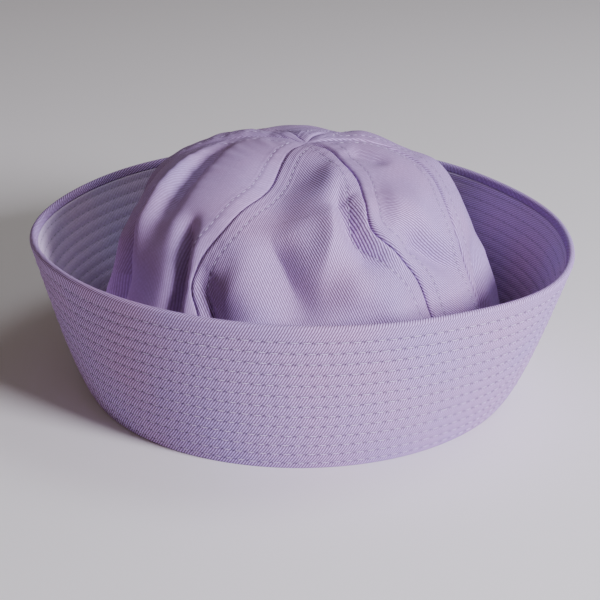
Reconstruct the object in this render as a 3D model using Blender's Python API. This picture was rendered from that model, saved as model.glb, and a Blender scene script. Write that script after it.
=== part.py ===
# A soft sailor cap: a six-gore twill crown with a turned-up, flared brim of two plies.
# Metres, +Z up, the cap standing on its lower edge at z = 0 with its front towards -Y.
# A bearing is an angle round the cap: 0 at the front, 90 at the right (+X), 180 at the back.

import bmesh
import bpy
import numpy as np

# Driving dimensions
head_ring_radius = 0.0945    # outside of the brim at its lower edge
brim_depth = 0.0708          # up the slope of the brim, from its lower edge to its rim
brim_bow = 0.0022            # how far the brim's side swells beyond a straight line
outer_ply = 0.0015
inner_ply = 0.0012
ply_gap = 0.0003             # between the two plies of the brim
hem_depth = 0.0035           # how far the outer ply turns down inside the rim
crown_height = 0.1045
crown_wall = 0.0012
crown_gap = 0.0003           # between the crown and the inside of the brim at the lower edge
seam_gap = 0.0004            # between two gores along their seam
gore_puff = 0.0022           # how far a gore swells between its seams
apex_shift = 0.0025          # the meeting point of the seams lies this far to the right
apex_back = 0.0030           # and this far to the back
apex_dent = 0.0004
apex_dent_radius = 0.011
apex_opening = 0.0013        # radius left open where the six points meet

brim_bow_low = 0.6           # under 1 the brim's side is fullest below its middle
puff_fullness = 0.8          # under 1 a gore swells more steeply beside its seams
puff_rounding = 0.35         # share of the crown's radius within which the swell dies away
shift_start = 0.55           # rise at which the cloth begins to follow the apex's shift
shift_full = 0.95            # rise from which it follows it wholly
fold_fade = 0.35             # share of a fold's length over which it dies away at an end
low_fold = 0.3               # a fold that ends below this rise runs on down out of sight

# Mesh counts
brim_segments = 72
brim_rows = 4
crown_rows = 23
sharp_angle = 50             # in degrees; an edge that turns more is shaded sharp

# How far the brim leans out, all round the cap
BRIM_FLARE = [
    # bearing in degrees, flare in degrees
    (0, 14),
    (30, 17),
    (60, 22),
    (90, 18),
    (120, 11),
    (150, 13),
    (180, 15),
    (210, 18),
    (240, 17),
    (270, 19),
    (300, 15),
    (330, 13),
]

# The crown's side, from the lower edge to the top
CROWN_PROFILE = [
    # share of the crown's radius, share of the crown's height
    (1.000, 0.00),
    (1.000, 0.05),
    (0.985, 0.16),
    (0.962, 0.30),
    (0.930, 0.42),
    (0.880, 0.54),
    (0.825, 0.68),
    (0.740, 0.81),
    (0.655, 0.875),
    (0.500, 0.935),
    (0.300, 0.980),
    (0.120, 1.000),
    (0.000, 1.000),
]

# Where the seams run. Rise is the share of the way up the crown's side, bearings in degrees
SEAM_NAMES = ("front_left", "front_right", "right", "back_right", "back_left", "left")
SEAM_BEARINGS = [
    # rise, front_left, front_right, right, back_right, back_left, left
    (0.00, -29, 40, 66, 152, 208, 268),
    (0.34, -30, 40, 63, 152, 208, 268),
    (0.42, -34, 38, 62, 151, 209, 266),
    (0.50, -32, 32, 63, 150, 210, 264),
    (0.57, -28, 25, 68, 150, 210, 260),
    (0.65, -25, 27, 82, 150, 210, 254),
    (0.75, -21, 33, 98, 152, 208, 245),
    (0.85, -24, 37, 106, 155, 206, 238),
    (0.93, -28, 46, 105, 158, 205, 235),
    (1.00, -30, 52, 104, 160, 205, 233),
]

GORES = [
    # name, width of a column of its mesh: finer where the folds are close
    ("gore_front", 0.0070),
    ("gore_front_right", 0.0060),
    ("gore_back_right", 0.0095),
    ("gore_back", 0.0100),
    ("gore_back_left", 0.0100),
    ("gore_front_left", 0.0046),
]

# Folds of the crown: a line of (bearing, rise) points, and how far the cloth stands off its
# plain shape along it. Width and lift are shares of the crown's radius; a valley's lift is
# below zero.
CROWN_FOLDS = [
    # line, width, lift
    ([(-31, 0.50), (-29, 0.43), (-25, 0.35), (-24, 0.12)], 0.055, -0.030),
    ([(-8, 0.90), (-9, 0.80), (-10, 0.71), (-10, 0.62), (-8, 0.55)], 0.140, -0.058),
    ([(-14, 0.63), (-10, 0.56), (-6, 0.50), (-3, 0.45), (1, 0.38), (3, 0.33)], 0.095, -0.066),
    ([(33, 0.90), (22, 0.80), (15, 0.67), (12, 0.58), (8, 0.51), (4, 0.43)], 0.065, 0.038),
    ([(24, 0.79), (18, 0.71), (16, 0.66), (18, 0.58), (22, 0.51), (28, 0.49), (35, 0.45)], 0.060, -0.055),
    ([(37, 0.82), (28, 0.68), (25, 0.61), (26, 0.57), (30, 0.52), (36, 0.48), (38, 0.40)], 0.060, 0.038),
    ([(30, 0.53), (42, 0.51), (49, 0.46), (60, 0.37)], 0.065, -0.070),
    ([(8, 0.46), (17, 0.43), (25, 0.40), (31, 0.28)], 0.100, 0.045),
    ([(-25, 0.46), (-19, 0.44), (-14, 0.38), (-13, 0.24)], 0.090, 0.024),
    ([(32, 0.64), (43, 0.60), (54, 0.55)], 0.120, 0.030),
    ([(57, 0.88), (61, 0.82), (61, 0.74)], 0.070, -0.022),
    ([(-43, 0.62), (-42, 0.56), (-40, 0.48), (-39, 0.41), (-40, 0.12)], 0.050, -0.042),
    ([(-37, 0.60), (-36, 0.50), (-36, 0.40), (-36, 0.14)], 0.050, 0.018),
    ([(-121, 0.79), (-92, 0.77), (-73, 0.71), (-60, 0.62), (-56, 0.56), (-54, 0.46)], 0.060, -0.050),
    ([(-118, 0.75), (-88, 0.72), (-74, 0.66), (-65, 0.56), (-62, 0.47), (-60, 0.36)], 0.055, 0.034),
    ([(-97, 0.64), (-83, 0.60), (-75, 0.53), (-69, 0.45), (-65, 0.37), (-63, 0.14)], 0.055, -0.056),
    ([(-107, 0.63), (-97, 0.56), (-86, 0.49), (-77, 0.43), (-72, 0.35), (-71, 0.18)], 0.055, 0.030),
    ([(-112, 0.62), (-102, 0.54), (-95, 0.46), (-88, 0.36), (-84, 0.14)], 0.110, -0.085),
    ([(172, 0.66), (158, 0.66), (142, 0.66), (128, 0.66), (114, 0.65), (102, 0.60)], 0.130, -0.038),
    ([(125, 0.80), (150, 0.80), (180, 0.80), (208, 0.80), (235, 0.80)], 0.160, -0.028),
    ([(108, 0.62), (99, 0.52), (94, 0.40), (93, 0.28), (93, 0.10)], 0.280, -0.036),
    ([(-104, 0.58), (-97, 0.48), (-94, 0.36), (-92, 0.24), (-92, 0.10)], 0.280, -0.052),
    ([(84, 0.44), (84, 0.34), (86, 0.18)], 0.080, 0.024),
    ([(76, 0.48), (73, 0.36), (69, 0.28), (68, 0.12)], 0.065, -0.045),
    ([(126, 0.62), (132, 0.44), (130, 0.20)], 0.100, 0.025),
    ([(116, 0.58), (112, 0.44), (112, 0.24)], 0.100, -0.035),
    ([(178, 0.72), (172, 0.54), (176, 0.26)], 0.110, -0.040),
    ([(-168, 0.62), (-160, 0.42), (-162, 0.20)], 0.110, 0.025),
    ([(-134, 0.70), (-136, 0.50), (-134, 0.22)], 0.110, -0.040),
    ([(-118, 0.60), (-116, 0.42), (-114, 0.20)], 0.100, 0.024),
]
plain_hem_rise = 0.12        # below this share of the side the folds die away

brim_thickness = outer_ply + ply_gap + inner_ply
steepest_flare = np.radians(max(flare for bearing, flare in BRIM_FLARE))
crown_radius = head_ring_radius - brim_thickness / np.cos(steepest_flare) - crown_gap


def clear_scene():
    for item in list(bpy.data.objects):
        bpy.data.objects.remove(item, do_unlink=True)


def smooth_step(low, high, value):
    share = np.clip((value - low) / (high - low), 0.0, 1.0)
    return share * share * (3.0 - 2.0 * share)


def smooth_curve(knots, values, at):
    # A curve through the knots whose slope at each knot is that of the line between its neighbours
    knots = np.asarray(knots, float)
    values = np.asarray(values, float)
    slopes = np.gradient(values, knots)
    place = np.clip(np.searchsorted(knots, at, side="right") - 1, 0, len(knots) - 2)
    span = knots[place + 1] - knots[place]
    share = (at - knots[place]) / span
    start = (1 + 2 * share) * (1 - share) ** 2 * values[place]
    end = share ** 2 * (3 - 2 * share) * values[place + 1]
    bend = share * (1 - share) ** 2 * slopes[place] - share ** 2 * (1 - share) * slopes[place + 1]
    return start + end + bend * span


def brim_flare(bearing):
    # The flare in radians at a bearing in radians, smooth all the way round
    around = [angle for angle, flare in BRIM_FLARE]
    flares = [flare for angle, flare in BRIM_FLARE]
    wrapped = [angle - 360 for angle in around] + around + [angle + 360 for angle in around]
    return np.radians(smooth_curve(wrapped, flares * 3, np.degrees(bearing)))


def crown_side(rise):
    # Radius and height at a share of the way up the crown's side
    table = np.array(CROWN_PROFILE)
    radii = table[:, 0] * crown_radius
    heights = table[:, 1] * crown_height
    lengths = np.hypot(np.diff(radii), np.diff(heights))
    marks = np.concatenate([[0.0], np.cumsum(lengths)])
    return (smooth_curve(marks / marks[-1], radii, rise),
            smooth_curve(marks / marks[-1], heights, rise),
            marks[-1])


def seam_bearing(index, rise):
    # A seam's bearing in radians; index 6 is the first seam again, one turn on
    table = np.array(SEAM_BEARINGS, float)
    turn, column = divmod(index, len(SEAM_NAMES))
    return np.radians(smooth_curve(table[:, 0], table[:, 1 + column], rise) + 360.0 * turn)


def fold_lift(bearing, rise, radius, side_length):
    # Each fold is a rounded bump or groove around its line, measured along the cloth. It dies
    # away at its upper end, and at its lower end too if that shows.
    total = np.zeros_like(bearing)
    for line, width, lift in CROWN_FOLDS:
        middle = np.radians(line[len(line) // 2][0])
        turned = np.mod(bearing - middle + np.pi, 2 * np.pi) - np.pi
        across = turned * radius
        up = rise * side_length
        nearest = np.full_like(bearing, np.inf)
        progress = np.zeros_like(bearing)
        points = []
        for angle, height in line:
            line_radius = crown_side(np.array([height]))[0][0]
            points.append(((np.radians(angle) - middle) * line_radius, height * side_length))
        for place, ((ax, ay), (bx, by)) in enumerate(zip(points, points[1:])):
            along = ((across - ax) * (bx - ax) + (up - ay) * (by - ay)) / ((bx - ax) ** 2 + (by - ay) ** 2)
            along = np.clip(along, 0.0, 1.0)
            away = np.hypot(across - ax - along * (bx - ax), up - ay - along * (by - ay))
            progress = np.where(away < nearest, (place + along) / (len(points) - 1), progress)
            nearest = np.minimum(nearest, away)
        fade = smooth_step(0.0, fold_fade, progress)
        if line[-1][1] > low_fold:
            fade = fade * smooth_step(0.0, fold_fade, 1.0 - progress)
        total += lift * fade * crown_radius * np.exp(-(nearest / (width * crown_radius)) ** 2)
    return total


def crown_face(bearing, rise, swell):
    # The crown's outer face, with the cloth between the seams raised by swell
    radius, height, side_length = crown_side(rise)
    step = 0.004
    below = crown_side(np.clip(rise - step, 0.0, 1.0))
    above = crown_side(np.clip(rise + step, 0.0, 1.0))
    run, climb = above[0] - below[0], above[1] - below[1]
    steepness = np.hypot(run, climb)
    out, up = climb / steepness, -run / steepness
    lift = swell + fold_lift(bearing, rise, radius, side_length)
    lift *= smooth_step(0.0, plain_hem_rise, rise)
    radius_now = radius + lift * out
    height_now = height + lift * up - apex_dent * np.exp(-(radius / apex_dent_radius) ** 2)
    moved = smooth_step(shift_start, shift_full, rise)
    x = radius_now * np.sin(bearing) + apex_shift * moved
    y = -radius_now * np.cos(bearing) + apex_back * moved
    return np.stack([x, y, height_now], axis=-1)


def crown_wall_faces(bearing, rise, across):
    # The outer and inner faces of the crown's wall. Across is the share of the way from a
    # gore's first seam to its next. The wall's direction leaves the swell out, so that the
    # edges of two gores stay parallel along their seam.
    radius = crown_side(rise)[0]
    rounding = np.clip(radius / (puff_rounding * crown_radius), 0.0, 1.0)
    swell = gore_puff * np.sin(np.pi * across) ** puff_fullness * rounding
    outer = crown_face(bearing, rise, swell)
    turn = 0.02
    climb = 0.006
    round_the_cap = crown_face(bearing + turn, rise, 0.0) - crown_face(bearing - turn, rise, 0.0)
    up_the_side = (crown_face(bearing, np.clip(rise + climb, 0.0, 1.0), 0.0)
                   - crown_face(bearing, np.clip(rise - climb, 0.0, 1.0), 0.0))
    outward = np.cross(round_the_cap, up_the_side)
    outward /= np.linalg.norm(outward, axis=-1, keepdims=True)
    outward[0, :, 2] = 0.0
    return outer, outer - crown_wall * outward


def twill_material(name, colour, roughness):
    material = bpy.data.materials.new(name)
    material.use_nodes = True
    shader = material.node_tree.nodes["Principled BSDF"]
    shader.inputs["Base Color"].default_value = (*colour, 1.0)
    shader.inputs["Roughness"].default_value = roughness
    shader.inputs["Metallic"].default_value = 0.0
    return material


def add_piece(name, mesh, material, collection):
    mesh.shade_smooth()
    mesh.set_sharp_from_angle(angle=np.radians(sharp_angle))
    mesh.materials.append(material)
    piece = bpy.data.objects.new(name, mesh)
    collection.objects.link(piece)
    return piece


def add_ring(name, sections, material, collection):
    # A closed ring lofted through closed sections; sections holds (section, corner, xyz)
    count, corners = sections.shape[:2]
    index = np.arange(count * corners).reshape(count, corners)
    after = np.roll(index, -1, axis=0)
    faces = np.stack([index, np.roll(index, -1, axis=1), np.roll(after, -1, axis=1), after], axis=-1)
    mesh = bpy.data.meshes.new(name)
    mesh.from_pydata(sections.reshape(-1, 3).tolist(), [], faces.reshape(-1, 4).tolist())
    shell = bmesh.new()
    shell.from_mesh(mesh)
    bmesh.ops.recalc_face_normals(shell, faces=shell.faces)
    shell.to_mesh(mesh)
    shell.free()
    return add_piece(name, mesh, material, collection)


def brim_sections(corners):
    # Each corner is (how far up the slope, how deep in from the outer face). A corner with no
    # height lies on the ground: there the slope is cut level. Measured from the lower edge's centre.
    bearing = np.linspace(0.0, 2 * np.pi, brim_segments, endpoint=False)
    flare = brim_flare(bearing)
    rings = []
    for slope, depth in corners:
        along = slope if slope > 0 else -depth * np.tan(flare)
        bow = brim_bow * np.sin(np.pi * min(slope / brim_depth, 1.0) ** brim_bow_low)
        radius = head_ring_radius + along * np.sin(flare) + (bow - depth) * np.cos(flare)
        height = along * np.cos(flare) + (depth - bow) * np.sin(flare)
        rings.append(np.stack([radius * np.sin(bearing), -radius * np.cos(bearing), height], axis=-1))
    return np.stack(rings, axis=1)


def outer_ply_corners():
    # Up the outer face, round over the rim, down the hem, and down the ply's hidden face
    bend = brim_thickness / 2
    up = [(share * (brim_depth - bend), 0.0) for share in np.linspace(0.0, 1.0, brim_rows + 1)]
    over = [(brim_depth - bend + bend * np.sin(turn), bend - bend * np.cos(turn))
            for turn in np.radians([45, 90, 135, 180])]
    hem = [(brim_depth - hem_depth, brim_thickness), (brim_depth - hem_depth, outer_ply)]
    down = [(share * (brim_depth - hem_depth), outer_ply)
            for share in np.linspace(1.0, 0.0, brim_rows + 1)[1:]]
    return up + over + hem + down


def inner_ply_corners():
    top = brim_depth - hem_depth - ply_gap
    shares = np.linspace(0.0, 1.0, brim_rows + 1)
    up = [(share * top, outer_ply + ply_gap) for share in shares]
    down = [(share * top, brim_thickness) for share in shares[::-1]]
    return up + down


def rim_centre():
    # The middle of the rim's bounding box, measured from the lower edge's centre. The cap is
    # built about it, so that its bounding box is centred on the origin.
    rim = brim_sections(outer_ply_corners()).reshape(-1, 3)
    centre = (rim.max(axis=0) + rim.min(axis=0)) / 2
    centre[2] = 0.0
    return centre


def add_gore(index, name, column_width, centre, material, collection):
    # A curved wall between two seams, from the lower edge nearly to the apex
    top_rise = 1.0 - apex_opening / crown_side(np.array([1.0]))[2]
    rise = np.linspace(0.0, top_rise, crown_rows)
    start = seam_bearing(index, rise)
    end = seam_bearing(index + 1, rise)
    radius = crown_side(rise)[0]
    columns = int(np.ceil(np.max((end - start) * radius) / column_width)) + 1
    clearance = (seam_gap / 2 / radius)[:, None]
    low = start[:, None] + clearance
    high = end[:, None] - clearance
    bearing = low + (high - low) * np.linspace(0.0, 1.0, columns)[None, :]
    seam_share = (bearing - start[:, None]) / (end - start)[:, None]
    rises = np.broadcast_to(rise[:, None], bearing.shape)
    outer, inner = crown_wall_faces(bearing, rises, seam_share)
    outside = np.arange(crown_rows * columns).reshape(crown_rows, columns)
    inside = outside + crown_rows * columns
    edge = np.concatenate([outside[0, :], outside[1:, -1], outside[-1, -2::-1], outside[-2:0:-1, 0]])
    inner_edge = edge + crown_rows * columns
    skin = np.stack([outside[:-1, :-1], outside[:-1, 1:], outside[1:, 1:], outside[1:, :-1]], axis=-1)
    back = np.stack([inside[:-1, :-1], inside[1:, :-1], inside[1:, 1:], inside[:-1, 1:]], axis=-1)
    rim = np.stack([edge, inner_edge, np.roll(inner_edge, -1), np.roll(edge, -1)], axis=-1)
    points = np.concatenate([outer.reshape(-1, 3), inner.reshape(-1, 3)]) - centre
    faces = np.concatenate([skin.reshape(-1, 4), back.reshape(-1, 4), rim])
    mesh = bpy.data.meshes.new(name)
    mesh.from_pydata(points.tolist(), [], faces.tolist())
    return add_piece(name, mesh, material, collection)


def build_cap():
    clear_scene()
    cap = bpy.data.collections.new("sailor_cap")
    bpy.context.scene.collection.children.link(cap)
    twill = twill_material("lavender_twill", (0.376, 0.305, 0.485), 0.85)
    lining_side = twill_material("inner_twill", (0.20, 0.17, 0.26), 0.9)
    centre = rim_centre()
    add_ring("brim_outer", brim_sections(outer_ply_corners()) - centre, twill, cap)
    add_ring("brim_inner", brim_sections(inner_ply_corners()) - centre, lining_side, cap)
    for index, (name, column_width) in enumerate(GORES):
        add_gore(index, name, column_width, centre, twill, cap)


build_cap()
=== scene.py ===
import bmesh
import bpy
import numpy as np
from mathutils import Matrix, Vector


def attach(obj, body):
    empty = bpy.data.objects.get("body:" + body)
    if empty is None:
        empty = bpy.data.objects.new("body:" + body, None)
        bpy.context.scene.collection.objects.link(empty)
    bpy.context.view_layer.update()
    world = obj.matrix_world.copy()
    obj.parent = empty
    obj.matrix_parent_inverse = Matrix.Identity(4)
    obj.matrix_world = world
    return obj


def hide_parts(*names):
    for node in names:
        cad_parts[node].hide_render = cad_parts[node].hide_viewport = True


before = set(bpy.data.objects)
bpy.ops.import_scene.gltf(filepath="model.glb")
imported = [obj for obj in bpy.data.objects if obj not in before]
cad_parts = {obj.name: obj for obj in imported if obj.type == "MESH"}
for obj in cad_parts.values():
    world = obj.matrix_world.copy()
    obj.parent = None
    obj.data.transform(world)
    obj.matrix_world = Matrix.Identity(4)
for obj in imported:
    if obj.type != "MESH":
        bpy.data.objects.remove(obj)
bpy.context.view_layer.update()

print("frame loaded")

# Metres, +Z up. A bearing is an angle round the cap: 0 at the front (-Y), 90 at the right (+X).
cap = {
    "ringRadius": 0.0945,       # outside of the brim at its lower edge
    "brimDepth": 0.0708,        # up the slope of the brim
    "brimBow": 0.0022,          # swell of the brim's side beyond a straight line
    "brimBowLow": 0.6,          # under 1 the swell sits below the middle of the side
    "outerPly": 0.0015,
    "innerPly": 0.0012,
    "plyGap": 0.0003,
    "hemDepth": 0.0035,         # the outer ply turned down inside the rim
    "crownHeight": 0.1045,
    "crownWall": 0.0012,
    "crownGap": 0.0003,
    "rimBearings": 72,          # at how many bearings the rim is measured for the cap's middle
    "shoulderAngle": 45,        # degrees round the rim to the shoulder that is measured too
    "gorePuff": 0.0022,         # swell of a gore between its seams
    "puffFullness": 0.8,        # under 1 the swell is flatter across a gore's middle
    "puffRounding": 0.35,       # share of the crown's radius within which the swell dies away
    "apexShift": 0.0025,        # the apex stands this far to the right of the middle
    "apexBack": 0.0030,         # and this far behind it
    "shiftStart": 0.55,         # rise at which the crown starts to move over to its apex
    "shiftFull": 0.95,
    "apexDent": 0.0004,
    "apexDentRadius": 0.011,
    "plainApex": 0.012,         # seams and unevenness die away within this radius of the apex
    "plainRise": 0.12,          # folds and swell come in over this rise from the lower edge
    "mainRoundness": 2.0,       # 2 is a round bottom or crest, nearer 1 a sharp one
    "fineRoundness": 1.25,
    "foldFade": 0.35,           # share of a fold's length over which it dies away at an end
    "lowFold": 0.3,             # a fold that ends below this rise runs on down out of sight
    "slopeStep": 0.004,         # step in rise over which the side's slope is worked out
    "turnStep": 0.01,           # the same in bearing, in radians
}

brimFlareTable = [              # bearing, flare, both in degrees
    (0, 14), (30, 17), (60, 22), (90, 18), (120, 11), (150, 13),
    (180, 15), (210, 18), (240, 17), (270, 19), (300, 15), (330, 13),
]

crownProfile = [                # share of the crown's radius, share of its height
    (1.000, 0.00), (1.000, 0.05), (0.985, 0.16), (0.962, 0.30), (0.930, 0.42), (0.880, 0.54),
    (0.825, 0.68), (0.740, 0.81), (0.655, 0.875), (0.500, 0.935), (0.300, 0.980), (0.120, 1.000),
    (0.000, 1.000),
]

# rise up the side, then the bearings of the six seams: front left, front right, right,
# back right, back left, left
seamTable = [
    (0.00, -29, 40, 66, 152, 208, 268),
    (0.34, -30, 40, 63, 152, 208, 268),
    (0.42, -34, 38, 62, 151, 209, 266),
    (0.50, -32, 32, 63, 150, 210, 264),
    (0.57, -28, 25, 68, 150, 210, 260),
    (0.65, -25, 27, 82, 150, 210, 254),
    (0.75, -21, 33, 98, 152, 208, 245),
    (0.85, -24, 37, 106, 155, 206, 238),
    (0.93, -28, 46, 105, 158, 205, 235),
    (1.00, -30, 52, 104, 160, 205, 233),
]

# main folds, as the solids have them: a line of (bearing, rise), width, lift, as shares of the
# crown's radius; below zero is a valley
mainFolds = [
    ([(-31, 0.50), (-29, 0.43), (-25, 0.35), (-24, 0.12)], 0.055, -0.030),
    ([(-8, 0.90), (-9, 0.80), (-10, 0.71), (-10, 0.62), (-8, 0.55)], 0.140, -0.058),
    ([(-14, 0.63), (-10, 0.56), (-6, 0.50), (-3, 0.45), (1, 0.38), (3, 0.33)], 0.095, -0.066),
    ([(33, 0.90), (22, 0.80), (15, 0.67), (12, 0.58), (8, 0.51), (4, 0.43)], 0.065, 0.038),
    ([(24, 0.79), (18, 0.71), (16, 0.66), (18, 0.58), (22, 0.51), (28, 0.49), (35, 0.45)], 0.060, -0.055),
    ([(37, 0.82), (28, 0.68), (25, 0.61), (26, 0.57), (30, 0.52), (36, 0.48), (38, 0.40)], 0.060, 0.038),
    ([(30, 0.53), (42, 0.51), (49, 0.46), (60, 0.37)], 0.065, -0.070),
    ([(8, 0.46), (17, 0.43), (25, 0.40), (31, 0.28)], 0.100, 0.045),
    ([(-25, 0.46), (-19, 0.44), (-14, 0.38), (-13, 0.24)], 0.090, 0.024),
    ([(32, 0.64), (43, 0.60), (54, 0.55)], 0.120, 0.030),
    ([(57, 0.88), (61, 0.82), (61, 0.74)], 0.070, -0.022),
    ([(-43, 0.62), (-42, 0.56), (-40, 0.48), (-39, 0.41), (-40, 0.12)], 0.050, -0.042),
    ([(-37, 0.60), (-36, 0.50), (-36, 0.40), (-36, 0.14)], 0.050, 0.018),
    ([(-121, 0.79), (-92, 0.77), (-73, 0.71), (-60, 0.62), (-56, 0.56), (-54, 0.46)], 0.060, -0.050),
    ([(-118, 0.75), (-88, 0.72), (-74, 0.66), (-65, 0.56), (-62, 0.47), (-60, 0.36)], 0.055, 0.034),
    ([(-97, 0.64), (-83, 0.60), (-75, 0.53), (-69, 0.45), (-65, 0.37), (-63, 0.14)], 0.055, -0.056),
    ([(-107, 0.63), (-97, 0.56), (-86, 0.49), (-77, 0.43), (-72, 0.35), (-71, 0.18)], 0.055, 0.030),
    ([(-112, 0.62), (-102, 0.54), (-95, 0.46), (-88, 0.36), (-84, 0.14)], 0.110, -0.085),
    ([(172, 0.66), (158, 0.66), (142, 0.66), (128, 0.66), (114, 0.65), (102, 0.60)], 0.130, -0.038),
    ([(125, 0.80), (150, 0.80), (180, 0.80), (208, 0.80), (235, 0.80)], 0.160, -0.028),
    ([(108, 0.62), (99, 0.52), (94, 0.40), (93, 0.28), (93, 0.10)], 0.280, -0.036),
    ([(-104, 0.58), (-97, 0.48), (-94, 0.36), (-92, 0.24), (-92, 0.10)], 0.280, -0.052),
    ([(84, 0.44), (84, 0.34), (86, 0.18)], 0.080, 0.024),
    ([(76, 0.48), (73, 0.36), (69, 0.28), (68, 0.12)], 0.065, -0.045),
    ([(126, 0.62), (132, 0.44), (130, 0.20)], 0.100, 0.025),
    ([(116, 0.58), (112, 0.44), (112, 0.24)], 0.100, -0.035),
    ([(178, 0.72), (172, 0.54), (176, 0.26)], 0.110, -0.040),
    ([(-168, 0.62), (-160, 0.42), (-162, 0.20)], 0.110, 0.025),
    ([(-134, 0.70), (-136, 0.50), (-134, 0.22)], 0.110, -0.040),
    ([(-118, 0.60), (-116, 0.42), (-114, 0.20)], 0.100, 0.024),
]

# fine creases of the cloth, in the same terms but with a sharp bottom or crest
fineFolds = [
    ([(-43, 0.60), (-42, 0.55), (-40, 0.48), (-39, 0.41), (-40, 0.20)], 0.026, -0.030),
    ([(-34, 0.46), (-30, 0.41), (-25, 0.34), (-24, 0.24)], 0.020, -0.016),
    ([(-31, 0.45), (-26, 0.39), (-22, 0.33), (-21, 0.24)], 0.020, 0.012),
    ([(-108, 0.79), (-92, 0.77), (-73, 0.71), (-60, 0.62), (-57, 0.57)], 0.028, -0.016),
    ([(-88, 0.62), (-82, 0.60), (-75, 0.53), (-69, 0.45), (-65, 0.37), (-63, 0.20)], 0.024, -0.024),
    ([(23, 0.76), (18, 0.70), (16, 0.66), (18, 0.58), (22, 0.51), (27, 0.49)], 0.022, -0.014),
    ([(16, 0.73), (13, 0.66), (11, 0.57), (8, 0.51), (5, 0.45)], 0.030, 0.012),
    ([(-12, 0.60), (-9, 0.54), (-6, 0.50), (-3, 0.45), (0, 0.40)], 0.028, -0.012),
    ([(33, 0.52), (42, 0.505), (49, 0.46), (57, 0.40)], 0.026, -0.012),
    ([(58, 0.86), (62, 0.80), (61, 0.73)], 0.034, -0.006),
    ([(72, 0.42), (70, 0.34), (67, 0.26)], 0.024, -0.018),
]

thickness = cap["outerPly"] + cap["plyGap"] + cap["innerPly"]
steepest = np.radians(max(flare for bearing, flare in brimFlareTable))
crownRadius = cap["ringRadius"] - thickness / np.cos(steepest) - cap["crownGap"]


# Plain curves

def smoothStep(low, high, value):
    # 0 below low, 1 above high, and between them 3 t ** 2 - 2 t ** 3 of the share t of the way
    share = np.clip((value - low) / (high - low), 0.0, 1.0)
    return share * share * (3.0 - 2.0 * share)


def smoothCurve(knots, values, at):
    # cubic through the knots; the slope at a knot is that of the line between its neighbours
    knots, values = np.asarray(knots, float), np.asarray(values, float)
    slopes = np.gradient(values, knots)
    place = np.clip(np.searchsorted(knots, at, side="right") - 1, 0, len(knots) - 2)
    span = knots[place + 1] - knots[place]
    share = (at - knots[place]) / span
    start = (1 + 2 * share) * (1 - share) ** 2 * values[place]
    end = share ** 2 * (3 - 2 * share) * values[place + 1]
    bend = share * (1 - share) ** 2 * slopes[place] - share ** 2 * (1 - share) * slopes[place + 1]
    return start + end + bend * span


def ripples(along, seed, wavelengths):
    # a repeatable wavy value in -1 to 1: the mean of sines of the given wavelengths
    phases = np.random.default_rng(seed).uniform(0, 2 * np.pi, len(wavelengths))
    waves = [np.sin(2 * np.pi * along / length + phase) for length, phase in zip(wavelengths, phases)]
    return sum(waves) / len(wavelengths)


# The brim's shape

def brimFlare(bearing):
    # the side's lean outwards from upright: a smooth curve through the flares, carried on past
    # both ends of their table
    around = [angle for angle, flare in brimFlareTable]
    flares = [flare for angle, flare in brimFlareTable]
    wrapped = [angle - 360 for angle in around] + around + [angle + 360 for angle in around]
    return np.radians(smoothCurve(wrapped, flares * 3, np.degrees(bearing)))


def brimPoint(bearing, slope, depth):
    # on the brim: slope metres up its lean from the lower edge, depth metres in from its outer face;
    # radius is the ring's + slope * sin(flare) + (bow - depth) * cos(flare), height is
    # slope * cos(flare) + (depth - bow) * sin(flare), and the lower edge is cut level
    flare = brimFlare(bearing)
    along = np.where(slope > 0, slope, -depth * np.tan(flare))
    share = np.clip(slope / cap["brimDepth"], 0.0, 1.0)
    bow = cap["brimBow"] * np.sin(np.pi * share ** cap["brimBowLow"])
    radius = cap["ringRadius"] + along * np.sin(flare) + (bow - depth) * np.cos(flare)
    height = along * np.cos(flare) + (depth - bow) * np.sin(flare)
    return np.stack([radius * np.sin(bearing), -radius * np.cos(bearing), height], axis=-1)


def rimCentre():
    # middle of the rim's box seen from above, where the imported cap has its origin: half the sum of
    # the highest and the lowest corner of the rim and of its shoulder
    half = thickness / 2
    turn = np.linspace(0, 2 * np.pi, cap["rimBearings"], endpoint=False)
    rim = brimPoint(turn, np.full_like(turn, cap["brimDepth"] - half), np.zeros_like(turn))
    over = np.radians(cap["shoulderAngle"])
    shoulder = brimPoint(turn, np.full_like(turn, cap["brimDepth"] - half * (1 - np.sin(over))),
                         np.full_like(turn, half * (1 - np.cos(over))))
    corners = np.concatenate([rim, shoulder])
    centre = (corners.max(axis=0) + corners.min(axis=0)) / 2
    centre[2] = 0.0
    return centre


centre = rimCentre()


# The crown's shape

def crownSide(rise):
    # radius and height at a share of the way up the side, and the side's whole length: smooth curves
    # through the profile, by the length along its straight lines
    table = np.array(crownProfile)
    radii, heights = table[:, 0] * crownRadius, table[:, 1] * cap["crownHeight"]
    marks = np.concatenate([[0.0], np.cumsum(np.hypot(np.diff(radii), np.diff(heights)))])
    shares = marks / marks[-1]
    return smoothCurve(shares, radii, rise), smoothCurve(shares, heights, rise), marks[-1]


def seamBearing(index, rise):
    # a smooth curve through the seam's column; a seam past the sixth is the same, a full turn on
    table = np.array(seamTable, float)
    turn, column = divmod(index, 6)
    return np.radians(smoothCurve(table[:, 0], table[:, 1 + column], rise) + 360.0 * turn)


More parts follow.
